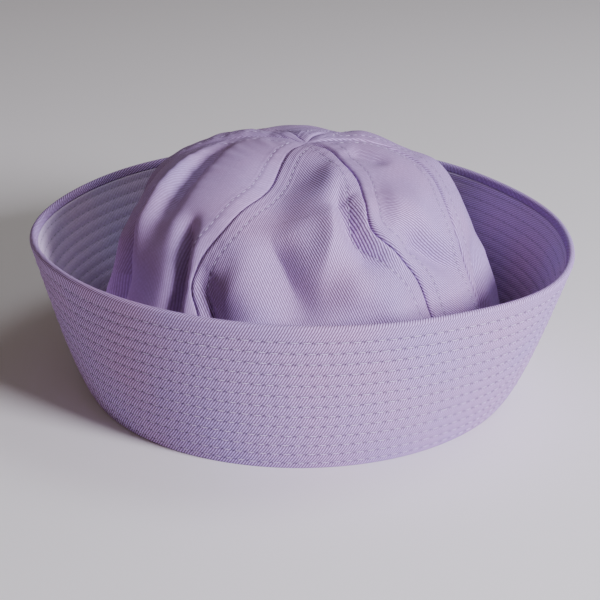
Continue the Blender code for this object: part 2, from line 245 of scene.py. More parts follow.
def foldLift(folds, roundness, bearing, rise, radius, sideLength):
    # each fold is lift * exp(-(distance / width) ** roundness) about its line, measured along the
    # cloth; it dies away at its upper end, and at its lower end too if that shows
    total = np.zeros_like(bearing)
    for line, width, lift in folds:
        middle = np.radians(line[len(line) // 2][0])
        across = (np.mod(bearing - middle + np.pi, 2 * np.pi) - np.pi) * radius
        up = rise * sideLength
        points = [((np.radians(angle) - middle) * crownSide(np.array([height]))[0][0], height * sideLength)
                  for angle, height in line]
        nearest = np.full_like(bearing, np.inf)
        progress = np.zeros_like(bearing)
        for place, ((ax, ay), (bx, by)) in enumerate(zip(points, points[1:])):
            along = ((across - ax) * (bx - ax) + (up - ay) * (by - ay)) / ((bx - ax) ** 2 + (by - ay) ** 2)
            along = np.clip(along, 0.0, 1.0)
            away = np.hypot(across - ax - along * (bx - ax), up - ay - along * (by - ay))
            progress = np.where(away < nearest, (place + along) / (len(points) - 1), progress)
            nearest = np.minimum(nearest, away)
        fade = smoothStep(0.0, cap["foldFade"], progress)
        if line[-1][1] > cap["lowFold"]:
            fade = fade * smoothStep(0.0, cap["foldFade"], 1.0 - progress)
        total += lift * fade * crownRadius * np.exp(-(nearest / (width * crownRadius)) ** roundness)
    return total


def crownFace(bearing, rise, swell):
    # the plain side of the crown, moved out along its normal (climb, -run) by the swell and the
    # folds, dented at its top, and moved over towards the apex as it rises
    radius, height, sideLength = crownSide(rise)
    below = crownSide(np.clip(rise - cap["slopeStep"], 0.0, 1.0))
    above = crownSide(np.clip(rise + cap["slopeStep"], 0.0, 1.0))
    run, climb = above[0] - below[0], above[1] - below[1]
    steepness = np.hypot(run, climb)
    lift = foldLift(mainFolds, cap["mainRoundness"], bearing, rise, radius, sideLength) + swell
    lift = lift + foldLift(fineFolds, cap["fineRoundness"], bearing, rise, radius, sideLength)
    lift = lift * smoothStep(0.0, cap["plainRise"], rise)
    radiusNow = radius + lift * climb / steepness
    dent = cap["apexDent"] * np.exp(-(radius / cap["apexDentRadius"]) ** 2)
    heightNow = height - lift * run / steepness - dent
    moved = smoothStep(cap["shiftStart"], cap["shiftFull"], rise)
    return np.stack([radiusNow * np.sin(bearing) + cap["apexShift"] * moved,
                     -radiusNow * np.cos(bearing) + cap["apexBack"] * moved, heightNow], axis=-1)


# The seams of the crown are felled: the allowance makes a band 6 mm wide on each side, held by
# a row of topstitches at its edge
seam = {
    "band": 0.0062,             # from the seam to its topstitches
    "bandLift": 0.00035,
    "edgeStart": 0.0002,        # the band's edge slopes down between these distances past its stitches
    "edgeEnd": 0.0022,
    "groove": 0.0005,
    "grooveWidth": 0.0006,
    "lip": 0.0003,              # of the cloth on top, beside the groove
    "underLip": -0.4,           # the cloth below it sinks by this share of the lip
    "lipPlace": 0.0016,
    "lipWidth": 0.0012,
    "stitchDip": 0.00035,
    "stitchDipWidth": 0.0009,
    "pucker": 0.00022,
    "puckerPlace": 0.8,         # share of the band where the puckers are deepest
    "puckerWidth": 0.0035,
    "puckerLean": 0.5,
    "puckerWaves": (0.0067, 0.0093, 0.0151, 0.0049),
    "puckerSeed": 40,
    "stitchPitch": 0.0033,
    "stitchShare": 0.80,        # share of the pitch that a stitch covers
    "lowStitch": 0.02,          # rises between which the seams are stitched
    "highStitch": 0.965,
    "stitchSamples": 1200,
    "travelSamples": 800,
    "narrowMap": 2.2,           # a gore narrower than this many bands has no rows in its map
    "narrowStitch": 2.4,        # and one narrower than this many has no stitches
    "outOfSight": 0.01,         # from a row, far enough that it leaves no mark
}


def seamRelief(distance, along, side, seed):
    # height of the cloth near a seam: the sum of its band, the groove, the lip beside it, the dip of
    # the topstitches and the puckers by them; all but the band are bells, exp(-(away / width) ** 2)
    edge = smoothStep(seam["band"] + seam["edgeStart"], seam["band"] + seam["edgeEnd"], distance)
    band = seam["bandLift"] * (1 - edge)
    groove = -seam["groove"] * np.exp(-(distance / seam["grooveWidth"]) ** 2)
    lip = side * seam["lip"] * np.exp(-((distance - seam["lipPlace"]) / seam["lipWidth"]) ** 2)
    dip = -seam["stitchDip"] * np.exp(-((distance - seam["band"]) / seam["stitchDipWidth"]) ** 2)
    nearRow = np.exp(-((distance - seam["band"] * seam["puckerPlace"]) / seam["puckerWidth"]) ** 2)
    waves = ripples(along + distance * seam["puckerLean"], seed, seam["puckerWaves"])
    pull = seam["pucker"] * nearRow * waves
    return band + groove + lip + dip + pull


# Making meshes

def gridFaces(rows, columns, closed):
    # quads of a grid whose rows run up and whose columns run to the right, seen from outside
    index = np.arange(rows * columns).reshape(rows, columns)
    right = np.roll(index, -1, axis=1) if closed else index[:, 1:]
    left = index if closed else index[:, :-1]
    return np.stack([left[:-1], right[:-1], right[1:], left[1:]], axis=-1).reshape(-1, 4)


def makeMesh(name, points, faces, maps, material):
    # points, quads and UV maps with a value for each corner of each quad, set as whole arrays
    mesh = bpy.data.meshes.new(name)
    mesh.vertices.add(len(points))
    mesh.vertices.foreach_set("co", points.astype(np.float32).ravel())
    mesh.loops.add(faces.size)
    mesh.loops.foreach_set("vertex_index", faces.astype(np.int32).ravel())
    mesh.polygons.add(len(faces))
    mesh.polygons.foreach_set("loop_start", np.arange(len(faces), dtype=np.int32) * 4)
    mesh.update(calc_edges=True)
    for mapName, uv in maps.items():
        layer = mesh.uv_layers.new(name=mapName)
        layer.data.foreach_set("uv", uv.astype(np.float32).ravel())
    mesh.shade_smooth()
    mesh.validate()
    mesh.materials.append(material)
    piece = bpy.data.objects.new(name, mesh)
    bpy.context.scene.collection.objects.link(piece)
    return piece


# Materials

def node(tree, kind, inputs=None, **settings):
    # a new shader node; an input is linked if it is a socket, and otherwise set
    made = tree.nodes.new(kind)
    for key, value in settings.items():
        setattr(made, key, value)
    for key, value in (inputs or {}).items():
        if isinstance(value, bpy.types.NodeSocket):
            tree.links.new(value, made.inputs[key])
        else:
            made.inputs[key].default_value = value
    return made


def maths(tree, operation, first, second=0.0, third=0.0):
    # one operation on up to three sockets or numbers
    return node(tree, "ShaderNodeMath", {0: first, 1: second, 2: third}, operation=operation).outputs[0]


def mixColour(tree, blend, factor, first, second):
    # two colours blended, the second by the factor
    made = node(tree, "ShaderNodeMix", {0: factor, 6: first, 7: second}, data_type="RGBA",
                blend_type=blend)
    return made.outputs[2]


twill = {
    "floatLength": 0.0021,      # of one yarn's float along the wale
    "floatShift": 0.37,         # of the floats from one wale to the next, in floats
    "floatDepth": 0.25,         # how far a wale sinks between two floats, of its own height
    "wander": 0.00045,          # how far a wale strays from its line
    "wanderScale": 260.0,
    "fuzz": 0.25,
    "fuzzScale": 1500.0,
    "bump": 0.42,
    "relief": 0.00030,
    # a wale's colours: painted highlight on its crest, its body, and painted shade down in its groove
    "highlight": (0.65, 0.455, 0.89),
    "body": (0.42, 0.285, 0.54),
    "groove": (0.15, 0.090, 0.17),
    "stops": (0.05, 0.45, 0.95),    # wale heights with the painted shade, the body's colour and the painted highlight
    "pink": (1.07, 0.97, 0.97, 1),
    "blue": (0.93, 0.97, 1.05, 1),
    "cloudScale": 22.0,         # of the patches that lean to pink or to blue
    "cloudGain": 2.4,
    "cloudOffset": -0.7,
    "heatherScale": 700.0,      # of the speckle of lighter and darker yarns
    "heatherGain": 0.28,
    "heatherLeast": 0.86,
    "rowShade": 0.50,           # how dark the painted shade along the groove of a row of stitches is
    "rowWidth": 0.00042,
    # painted shade in the needle holes at the ends of each stitch
    "holeShade": 0.22,
    "holeWidth": 0.00048,
    "roughness": 0.82,
    "specular": 0.18,
    "sheen": 0.04,
    "sheenRoughness": 0.45,
    "sheenTint": (0.88, 0.84, 1.0, 1),
}


def bell(tree, squares, width):
    # exp(-squares / width ** 2)
    return maths(tree, "EXPONENT", maths(tree, "MULTIPLY", squares, -1 / width ** 2))


def paintedRowShade(tree, pitch, marks):
    # painted shade: 1 on plain cloth, less along the groove of a row of stitches and least at its
    # needle holes, from the map of rows: how many stitches along the row, and how far in metres from it
    rows = node(tree, "ShaderNodeUVMap", uv_map="rows").outputs[0]
    parts = node(tree, "ShaderNodeSeparateXYZ", {0: rows})
    along = maths(tree, "SUBTRACT", maths(tree, "FRACT", maths(tree, "ADD", parts.outputs[0], 0.5)), 0.5)
    along = maths(tree, "MULTIPLY", along, pitch)
    away = maths(tree, "MULTIPLY", parts.outputs[1], parts.outputs[1])
    line = maths(tree, "MULTIPLY", bell(tree, away, twill["rowWidth"]), twill["rowShade"] * marks)
    spot = bell(tree, maths(tree, "MULTIPLY_ADD", along, along, away), twill["holeWidth"])
    kept = maths(tree, "SUBTRACT", 1.0, line)
    return maths(tree, "MULTIPLY", kept, maths(tree, "MULTIPLY_ADD", spot, -twill["holeShade"] * marks, 1.0))


def twillMaterial(name, lean, pitch, stitchPitch, contrast, paintedLight=(1.0, 1.0, 1.0), marks=1.0):
    # diagonal wales from the cloth's UV, in metres: lean is their angle from the level, pitch the
    # distance from one to the next; marks is how strong the painted shade of its rows of stitches is.
    # A wale's height is 0.5 + 0.5 * sin(2 pi * across / pitch), less between its floats, and its
    # colour goes by it: painted shade in the groove and painted highlight on the crest, as strong as
    # contrast says
    material = bpy.data.materials.new(name)
    material.use_nodes = True
    tree = material.node_tree
    shader = tree.nodes["Principled BSDF"]
    uv = node(tree, "ShaderNodeUVMap", uv_map="cloth").outputs[0]
    wobble = node(tree, "ShaderNodeTexNoise", {"Vector": uv, "Scale": twill["wanderScale"],
                                                 "Detail": 2.0}).outputs[0]
    turned = node(tree, "ShaderNodeMapping", {"Vector": uv, "Rotation": (0, 0, -np.radians(lean))})
    parts = node(tree, "ShaderNodeSeparateXYZ", {0: turned.outputs[0]})
    wander = maths(tree, "MULTIPLY", maths(tree, "SUBTRACT", wobble, 0.5), twill["wander"])
    across = maths(tree, "ADD", parts.outputs[1], wander)
    phase = maths(tree, "DIVIDE", across, pitch)
    wale = maths(tree, "SINE", maths(tree, "MULTIPLY", phase, 2 * np.pi))
    wale = maths(tree, "MULTIPLY_ADD", wale, 0.5, 0.5)
    rowNumber = maths(tree, "FLOOR", maths(tree, "ADD", phase, 0.25))
    shifted = maths(tree, "DIVIDE", parts.outputs[0], twill["floatLength"])
    shifted = maths(tree, "MULTIPLY_ADD", rowNumber, twill["floatShift"], shifted)
    floats = maths(tree, "SINE", maths(tree, "MULTIPLY", shifted, 2 * np.pi))
    floats = maths(tree, "MULTIPLY_ADD", floats, 0.5, 0.5)
    floats = maths(tree, "MULTIPLY_ADD", floats, twill["floatDepth"], 1 - twill["floatDepth"])
    yarn = maths(tree, "MULTIPLY", wale, floats)
    fuzz = node(tree, "ShaderNodeTexNoise", {"Vector": uv, "Scale": twill["fuzzScale"],
                                               "Detail": 3.0}).outputs[0]
    height = maths(tree, "MULTIPLY_ADD", fuzz, twill["fuzz"], yarn)
    # the ramp paints shade in the grooves between wales and a highlight on their crests
    ramp = node(tree, "ShaderNodeValToRGB", {0: yarn})
    low, middle, high = twill["stops"]
    ramp.color_ramp.elements[0].position = low
    ramp.color_ramp.elements[1].position = high
    body = np.array(twill["body"])
    # its colour is multiplied by painted light, which lightens a ply that stands in shade
    tones = [(*((body + (np.array(twill[key]) - body) * contrast) * paintedLight), 1)
             for key in ("groove", "body", "highlight")]
    ramp.color_ramp.elements[0].color = tones[0]
    ramp.color_ramp.elements[1].color = tones[2]
    ramp.color_ramp.elements.new(middle).color = tones[1]
    place = node(tree, "ShaderNodeTexCoord").outputs["Object"]
    cloud = node(tree, "ShaderNodeTexNoise", {"Vector": place, "Scale": twill["cloudScale"],
                                                "Detail": 3.0}).outputs[0]
    cloud = maths(tree, "MULTIPLY_ADD", cloud, twill["cloudGain"], twill["cloudOffset"])
    cloud = node(tree, "ShaderNodeClamp", {0: cloud}).outputs[0]
    tint = mixColour(tree, "MIX", cloud, twill["blue"], twill["pink"])
    colour = mixColour(tree, "MULTIPLY", 1.0, ramp.outputs[0], tint)
    heather = node(tree, "ShaderNodeTexNoise", {"Vector": uv, "Scale": twill["heatherScale"],
                                                  "Detail": 2.0}).outputs[0]
    heather = maths(tree, "MULTIPLY_ADD", heather, twill["heatherGain"], twill["heatherLeast"])
    # the yarns' speckle, darkened by the painted shade of the rows of stitches
    heather = maths(tree, "MULTIPLY", heather, paintedRowShade(tree, stitchPitch, marks))
    speckleAndRowShade = node(tree, "ShaderNodeCombineColor", {0: heather, 1: heather, 2: heather}).outputs[0]
    colour = mixColour(tree, "MULTIPLY", 1.0, colour, speckleAndRowShade)
    tree.links.new(colour, shader.inputs["Base Color"])
    bump = node(tree, "ShaderNodeBump", {"Strength": twill["bump"] * contrast,
                                         "Distance": twill["relief"], "Height": height})
    tree.links.new(bump.outputs[0], shader.inputs["Normal"])
    shader.inputs["Roughness"].default_value = twill["roughness"]
    shader.inputs["Specular IOR Level"].default_value = twill["specular"]
    shader.inputs["Sheen Weight"].default_value = twill["sheen"]
    shader.inputs["Sheen Roughness"].default_value = twill["sheenRoughness"]
    shader.inputs["Sheen Tint"].default_value = twill["sheenTint"]
    return material


thread = {
    "twistScale": 2400.0,
    "bump": 0.4,
    "relief": 0.0001,
    "roughness": 0.6,
    "sheen": 0.1,
    "outside": ((0.44, 0.33, 0.57), (0.68, 0.54, 0.86)),    # its dark and its light colour
    "inside": ((0.30, 0.25, 0.38), (0.46, 0.40, 0.56)),
}


def threadMaterial(name, dark, light):
    # sewing thread: one fine noise makes both its colour, from dark to light, and its bump
    material = bpy.data.materials.new(name)
    material.use_nodes = True
    tree = material.node_tree
    shader = tree.nodes["Principled BSDF"]
    place = node(tree, "ShaderNodeTexCoord").outputs["Object"]
    twist = node(tree, "ShaderNodeTexNoise", {"Vector": place, "Scale": thread["twistScale"],
                                                "Detail": 2.0}).outputs[0]
    ramp = node(tree, "ShaderNodeValToRGB", {0: twist})
    ramp.color_ramp.elements[0].color = (*dark, 1)
    ramp.color_ramp.elements[1].color = (*light, 1)
    tree.links.new(ramp.outputs[0], shader.inputs["Base Color"])
    bump = node(tree, "ShaderNodeBump", {"Strength": thread["bump"], "Distance": thread["relief"],
                                         "Height": twist})
    tree.links.new(bump.outputs[0], shader.inputs["Normal"])
    shader.inputs["Roughness"].default_value = thread["roughness"]
    shader.inputs["Sheen Weight"].default_value = thread["sheen"]
    return material


threadLook = threadMaterial("sewingThread", *thread["outside"])
innerThread = threadMaterial("innerThread", *thread["inside"])


# The crown's gores

# a gore's contrast is the strength of its wales' painted shade and highlight, and of their bump
gores = [                       # node, lean of its wales in degrees, their contrast
    ("gore_front", 116, 0.95),
    ("gore_front_right", 131, 0.85),
    ("gore_back_right", 62, 0.7),
    ("gore_back", 116, 0.7),
    ("gore_back_left", 131, 0.7),
    ("gore_front_left", 100, 0.3),
]
goreCloth = {
    "columnWidth": 0.00090,     # of its mesh, at the widest
    "rows": 190,
    "rowCrowding": 0.97,        # under 1 the rows of its mesh stand closer towards the apex
    "merge": 0.00002,           # points nearer than this become one, as they do at the apex
    "walePitch": 0.00084,
    "marks": 0.6,               # how far the painted shade of the rows of stitches darkens the cloth
    "uneven": 0.00030,          # height of its long soft waves
    "waveLean": (0.8, 0.6),
    "waves": (0.031, 0.047, 0.019),
    "waveSeed": 7,
}
seamRises = np.linspace(0.0, 1.0, seam["travelSamples"])


def seamTravel(index, rise):
    # length along a seam from the lower edge: the sum of hypot(radius * turn, climb along the side)
    radius, _, sideLength = crownSide(seamRises)
    steps = np.hypot(np.diff(seamBearing(index, seamRises)) * (radius[1:] + radius[:-1]) / 2,
                     np.diff(seamRises) * sideLength)
    return np.interp(rise, seamRises, np.concatenate([[0.0], np.cumsum(steps)]))


def seamLean(line, along, radius):
    # what turns a distance round the cap into one square to the seam: 1 / hypot(1, radius * turn
    # for each metre up the side)
    return 1 / np.sqrt(1 + (radius * np.gradient(line, along)) ** 2)


def goreSurface(index, bearing, rise, start, end):
    # the crown's face between two seams, with the relief of both, soft waves, and a swell of
    # puff * sin(pi * share across) ** fullness
    radius, _, sideLength = crownSide(rise)
    share = (bearing - start) / np.maximum(end - start, 1e-6)
    rounding = np.clip(radius / (cap["puffRounding"] * crownRadius), 0.0, 1.0)
    swell = cap["gorePuff"] * np.sin(np.pi * np.clip(share, 0, 1)) ** cap["puffFullness"] * rounding
    along = rise * sideLength
    startLean = seamLean(start[:, 0], along[:, 0], radius[:, 0])[:, None]
    endLean = seamLean(end[:, 0], along[:, 0], radius[:, 0])[:, None]
    fromApex = smoothStep(0.0, cap["plainApex"], radius)
    startSeed, endSeed = seam["puckerSeed"] + index % 6, seam["puckerSeed"] + (index + 1) % 6
    relief = seamRelief((bearing - start) * radius * startLean, along, 1.0, startSeed)
    relief = relief + seamRelief((end - bearing) * radius * endLean, along, seam["underLip"], endSeed)
    leanAround, leanUp = goreCloth["waveLean"]
    cloth = goreCloth["uneven"] * ripples(bearing * radius * leanAround + along * leanUp,
                                          goreCloth["waveSeed"] + index, goreCloth["waves"])
    return crownFace(bearing, rise, swell + relief * fromApex + cloth * fromApex * np.sin(np.pi * share))


def goreRows(index, bearing, rise, start, end):
    # the map of topstitches: stitches along the nearer seam, metres from its row; none near the apex
    radius, _, sideLength = crownSide(rise)
    along = rise[:, 0] * sideLength
    fromStart = (bearing - start) * radius * seamLean(start[:, 0], along, radius[:, 0])[:, None]
    fromEnd = (end - bearing) * radius * seamLean(end[:, 0], along, radius[:, 0])[:, None]
    travel = np.where(fromStart < fromEnd, seamTravel(index, rise), seamTravel(index + 1, rise))
    tooNarrow = seam["outOfSight"] * ((end - start) * radius < seam["narrowMap"] * seam["band"])
    away = np.minimum(fromStart, fromEnd) - seam["band"] + tooNarrow
    return np.stack([(travel / seam["stitchPitch"]).ravel(), away.ravel()], axis=-1)


def makeGore(index, name, lean, contrast):
    # the gore's surface on a grid of rises and of shares of the way from seam to seam, with a wall
    # inwards; its cloth map is the distance round from its middle and the distance up the side
    rise = np.linspace(0.0, 1.0, goreCloth["rows"]) ** goreCloth["rowCrowding"]
    start, end = seamBearing(index, rise)[:, None], seamBearing(index + 1, rise)[:, None]
    radius = crownSide(rise)[0][:, None]
    columns = int(np.ceil(np.max((end - start) * radius) / goreCloth["columnWidth"])) + 1
    bearing = start + (end - start) * np.linspace(0.0, 1.0, columns)[None, :]
    rises = np.broadcast_to(rise[:, None], bearing.shape).copy()
    points = goreSurface(index, bearing, rises, start, end) - centre
    faces = gridFaces(len(rise), columns, False)
    flatX = (bearing - np.mean((start + end) / 2)) * radius
    flatY = rises * crownSide(rise)[2]
    maps = {"cloth": np.stack([flatX.ravel(), flatY.ravel()], axis=-1)[faces],
            "rows": goreRows(index, bearing, rises, start, end)[faces]}
    look = twillMaterial("twill_" + name, lean, goreCloth["walePitch"], seam["stitchPitch"], contrast,
                         marks=goreCloth["marks"])
    piece = makeMesh("cloth_" + name, points.reshape(-1, 3), faces, maps, look)
    tidy = bmesh.new()
    tidy.from_mesh(piece.data)
    bmesh.ops.remove_doubles(tidy, verts=tidy.verts, dist=goreCloth["merge"])
    tidy.to_mesh(piece.data)
    tidy.free()
    wall = piece.modifiers.new("wall", "SOLIDIFY")
    wall.thickness = cap["crownWall"]
    wall.offset = -1.0
    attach(piece, "root")
    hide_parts(name)


for goreIndex, (goreName, goreLean, goreContrast) in enumerate(gores):
    makeGore(goreIndex, goreName, goreLean, goreContrast)
print("crown made")


# The brim's plies

brim = {
    "segments": 720,
    "perRow": 6,                # rows of its mesh from one row of stitches to the next
    "stitchRows": 13,
    "firstRow": 0.0068,         # from the rim down to the first row of stitches
    "rowPitch": 0.00505,
    "rowSpread": 0.28,          # what a row's radius gains for each metre up the slope
    "stitchPitch": 0.0048,
    "quilt": 0.00042,           # how far the cloth swells between two rows
    "quiltFullness": 0.7,       # under 1 the swell is flatter between two rows
    "fadeBelow": 0.2,           # below the last row it ends between this share of a pitch and a whole one
    "quiltSeed": 5,
    "pucker": 0.00012,
    "puckerLean": 0.6,
    "puckerWaves": (0.0075, 0.0113, 0.0049),
    "sway": 0.0005,             # of the whole side in long waves
    "swayWaves": (0.66, 0.22, 0.132),
    "swayRise": 0.05,           # up the slope, over which the sway comes in
    "waveRadius": 0.105,        # at which the waves are measured round the cap
    "outerSeed": 11,            # for where the rows of stitches start
    "innerSeed": 12,
    "rimStart": 20,             # degrees round the rim of its first ring and of its last
    "rimEnd": 180,
    "rimRings": 9,
    "rimQuilt": 0.3,            # share of the quilting that reaches over the rim
    "hemRows": 6,
    "hiddenSlope": 0.03,        # of the one row in the middle of a hidden face
    "hemMapGap": 0.0006,        # added to the cloth map's length at the hem
    "mapTurn": 0.99999,         # of a full turn, so that the map's two ends don't meet
    "lean": 62,
    "walePitch": 0.00100,
    # strength of the wales' painted shade and highlight, and of their bump, outside and inside
    "outerContrast": 1.0,
    "innerContrast": 0.4,
    # painted light: the inside ply's colour made lighter and greyer, standing in for light on its shaded
    # face
    "innerPaintedLight": (1.45, 1.75, 1.28),
    # how far the painted shade of the rows of stitches shows inside
    "innerRowShade": 0.25,
}
rowSlopes = cap["brimDepth"] - brim["firstRow"] - brim["rowPitch"] * np.arange(brim["stitchRows"])


def rowSteps(seed):
    # how many stitches each row has round the cap, and where its first one starts, in stitches
    counts = np.round(2 * np.pi * (cap["ringRadius"] + rowSlopes * brim["rowSpread"])
                      / brim["stitchPitch"])
    return counts, np.random.default_rng(seed).uniform(0, 1, len(rowSlopes))


def meshSlopes(low, high):
    # slopes from low to high, with every row of stitches on one of them
    fine = brim["rowPitch"] / brim["perRow"]
    between = rowSlopes[-1] + fine * np.arange(brim["perRow"] * (brim["stitchRows"] - 1) + 1)
    foot = np.linspace(low, rowSlopes[-1], int(np.ceil((rowSlopes[-1] - low) / fine)) + 1)[:-1]
    head = np.linspace(rowSlopes[0], high, int(np.ceil((high - rowSlopes[0]) / fine)) + 1)[1:]
    return np.concatenate([foot, between, head])


def brimRows(bearing, slope, seed):
    # the map of rows: stitches along the nearest row, metres from it
    counts, firsts = rowSteps(seed)
    nearest = np.argmin(np.abs(slope[..., None] - rowSlopes), axis=-1)
    along = bearing * counts[nearest] / (2 * np.pi) - firsts[nearest]
    return np.stack([along, np.abs(slope - rowSlopes[nearest])], axis=-1)


def quiltRelief(bearing, slope, seed):
    # between two rows the cloth swells by |sin(pi * rows down from the first)| ** fullness, and at a
    # row it is pulled in; puckers stand between the rows, and the whole side sways a little
    steps = (cap["brimDepth"] - brim["firstRow"] - slope) / brim["rowPitch"]
    lastRow = brim["stitchRows"] - 1
    below = smoothStep(lastRow + brim["fadeBelow"], lastRow + 1.0, steps)
    within = smoothStep(-1.0, 0.0, steps) * (1 - below)
    swell = np.abs(np.sin(np.pi * steps)) ** brim["quiltFullness"]
    around = bearing * brim["waveRadius"]
    between = np.sin(np.pi * np.clip(steps, 0, lastRow)) ** 2
    pucker = ripples(around + slope * brim["puckerLean"], seed, brim["puckerWaves"]) * between
    sway = brim["sway"] * ripples(around, seed + 1, brim["swayWaves"])
    sway = sway * smoothStep(0.0, brim["swayRise"], slope)
    return brim["quilt"] * (swell - 1.0) * within + brim["pucker"] * pucker * within + sway


def coneUv(bearing, slope):
    # the brim laid flat: a ring sector of the cone that has its mean flare, whose radius is
    # ring / sin(flare) + slope and whose angle is bearing * sin(flare)
    mean = np.radians(np.mean([flare for angle, flare in brimFlareTable]))
    reach = cap["ringRadius"] / np.sin(mean) + slope
    turn = (np.mod(bearing + np.pi, 2 * np.pi) - np.pi) * np.sin(mean)
    return np.stack([reach * np.sin(turn), reach * np.cos(turn)], axis=-1)


def cornerValues(grid):
    # a value for each corner of each quad of a closed section carried round, in the order of its faces
    joined = np.concatenate([grid, grid[:1]])
    corners = [joined[:-1, :-1], joined[:-1, 1:], joined[1:, 1:], joined[1:, :-1]]
    return np.stack(corners, axis=2).reshape(-1, 2)


def makePly(name, slopes, depths, lifts, lengths, seed, look, nodeName):
    # a closed section of (slope, depth) corners carried round the cap; lengths run along the cloth
    turn = np.linspace(-np.pi, np.pi, brim["segments"] + 1)
    bearing, slope = np.meshgrid(turn, slopes)
    depth = np.broadcast_to(depths[:, None], bearing.shape)
    raised = depth - lifts[:, None] * quiltRelief(bearing, slope, brim["quiltSeed"])
    points = brimPoint(bearing, slope, raised)[:, :-1] - centre
    faces = gridFaces(len(slopes), brim["segments"], True)
    around = np.arange(brim["segments"])
    after = np.roll(around, -1)
    lastRing = (len(slopes) - 1) * brim["segments"]
    lastStrip = np.stack([lastRing + around, lastRing + after, after, around], axis=-1)
    flat = coneUv(bearing * brim["mapTurn"], np.broadcast_to(lengths[:, None], bearing.shape))
    maps = {"cloth": cornerValues(flat), "rows": cornerValues(brimRows(bearing, slope, seed))}
    piece = makeMesh(name, points.reshape(-1, 3), np.concatenate([faces, lastStrip]), maps, look)
    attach(piece, "root")
    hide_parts(nodeName)


def makeOuterPly(look):
    # up the outer face, round over the rim, down the hem and down the hidden face
    half = thickness / 2
    shoulder, hemEnd = cap["brimDepth"] - half, cap["brimDepth"] - cap["hemDepth"]
    up = meshSlopes(0.0, shoulder)
    over = np.radians(np.linspace(brim["rimStart"], brim["rimEnd"], brim["rimRings"]))
    hem = np.linspace(shoulder, hemEnd, brim["hemRows"])[1:]
    hidden = np.array([hemEnd, brim["hiddenSlope"], 0.0])
    slopes = np.concatenate([up, shoulder + half * np.sin(over), hem, hidden])
    depths = np.concatenate([0 * up, half - half * np.cos(over), 0 * hem + thickness,
                             0 * hidden + cap["outerPly"]])
    lifts = np.concatenate([0 * up + 1, 0 * over + brim["rimQuilt"], 0 * hem, 0 * hidden])
    down = up[-1] + half * np.pi + (hem[0] - hem) + brim["hemMapGap"]
    lengths = np.concatenate([up, up[-1] + half * over, down, hidden])
    makePly("clothBrimOuter", slopes, depths, lifts, lengths, brim["outerSeed"], look, "brim_outer")


def makeInnerPly(look):
    # up the hidden face, over the top and down the face that shows inside
    top = cap["brimDepth"] - cap["hemDepth"] - cap["plyGap"]
    up = np.array([0.0, brim["hiddenSlope"], top])
    down = meshSlopes(0.0, top)[::-1]
    slopes = np.concatenate([up, down])
    depths = np.concatenate([0 * up + cap["outerPly"] + cap["plyGap"], 0 * down + thickness])
    lifts = np.concatenate([0 * up, 0 * down - 1])
    makePly("clothBrimInner", slopes, depths, lifts, slopes, brim["innerSeed"], look, "brim_inner")


makeOuterPly(twillMaterial("twillBrimOuter", brim["lean"], brim["walePitch"], brim["stitchPitch"],
                           brim["outerContrast"]))
makeInnerPly(twillMaterial("twillBrimInner", 180 - brim["lean"], brim["walePitch"], brim["stitchPitch"],
                           brim["innerContrast"], brim["innerPaintedLight"], brim["innerRowShade"]))
print("brim made")


# Stitches: each is a short thread that rises from one needle hole and dips into the next

stitch = {
    "around": 6,                # sides of its tube, an even number
    "rings": 5,
    "brimRadius": 0.00019,
    "insideRadius": 0.00020,
    "crownRadius": 0.00015,
    "outsideShare": 0.84,       # share of the pitch that a stitch covers
    "insideShare": 0.40,
    "arch": 1.5,                # height of its middle line over its ends, in its radii
    "sunk": 0.62,               # share of that height by which its ends lie under the cloth's face
    "tip": 0.35,                # its radius at its ends, as a share
    "stray": 0.00006,           # from the line of its row
    "straySeed": 50,
}


def makeStitches(name, starts, ends, outs, radius, look):
    # starts and ends are needle holes, outs the cloth's outward direction; a stitch is a tube whose
    # middle line rises by sin(pi * along) and whose girth grows by the square root of that
    along = np.linspace(0.0, 1.0, stitch["rings"])
    turn = np.linspace(0, 2 * np.pi, stitch["around"], endpoint=False)
    run = ends - starts
    side = np.cross(run, outs)
    side /= np.linalg.norm(side, axis=-1, keepdims=True)
    arch = np.sin(np.pi * along)
    middle = (starts[:, None] + run[:, None] * along[None, :, None]
              + outs[:, None] * ((arch - stitch["sunk"]) * radius * stitch["arch"])[None, :, None])
    girth = radius * (stitch["tip"] + (1 - stitch["tip"]) * arch ** 0.5)
    across = (np.cos(turn)[None, :] * girth[:, None])[None, :, :, None]
    upward = (np.sin(turn)[None, :] * girth[:, None])[None, :, :, None]
    rings = middle[:, :, None] + side[:, None, None] * across + outs[:, None, None] * upward
    count, perStitch = len(starts), stitch["rings"] * stitch["around"]
    single = gridFaces(stitch["rings"], stitch["around"], True)
    faces = (single[None] + (np.arange(count) * perStitch)[:, None, None]).reshape(-1, 4)
    nearEnd = np.array([[0, last, last - 1, last - 2] for last in range(stitch["around"] - 1, 1, -2)])
    farEnd = nearEnd[:, ::-1] + (stitch["rings"] - 1) * stitch["around"]
    closing = np.concatenate([nearEnd, farEnd])
    closing = (closing[None] + (np.arange(count) * perStitch)[:, None, None]).reshape(-1, 4)
    piece = makeMesh(name, rings.reshape(-1, 3), np.concatenate([faces, closing]), {}, look)
    tidy = bmesh.new()
    tidy.from_mesh(piece.data)
    bmesh.ops.recalc_face_normals(tidy, faces=tidy.faces)
    tidy.to_mesh(piece.data)
    tidy.free()
    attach(piece, "root")


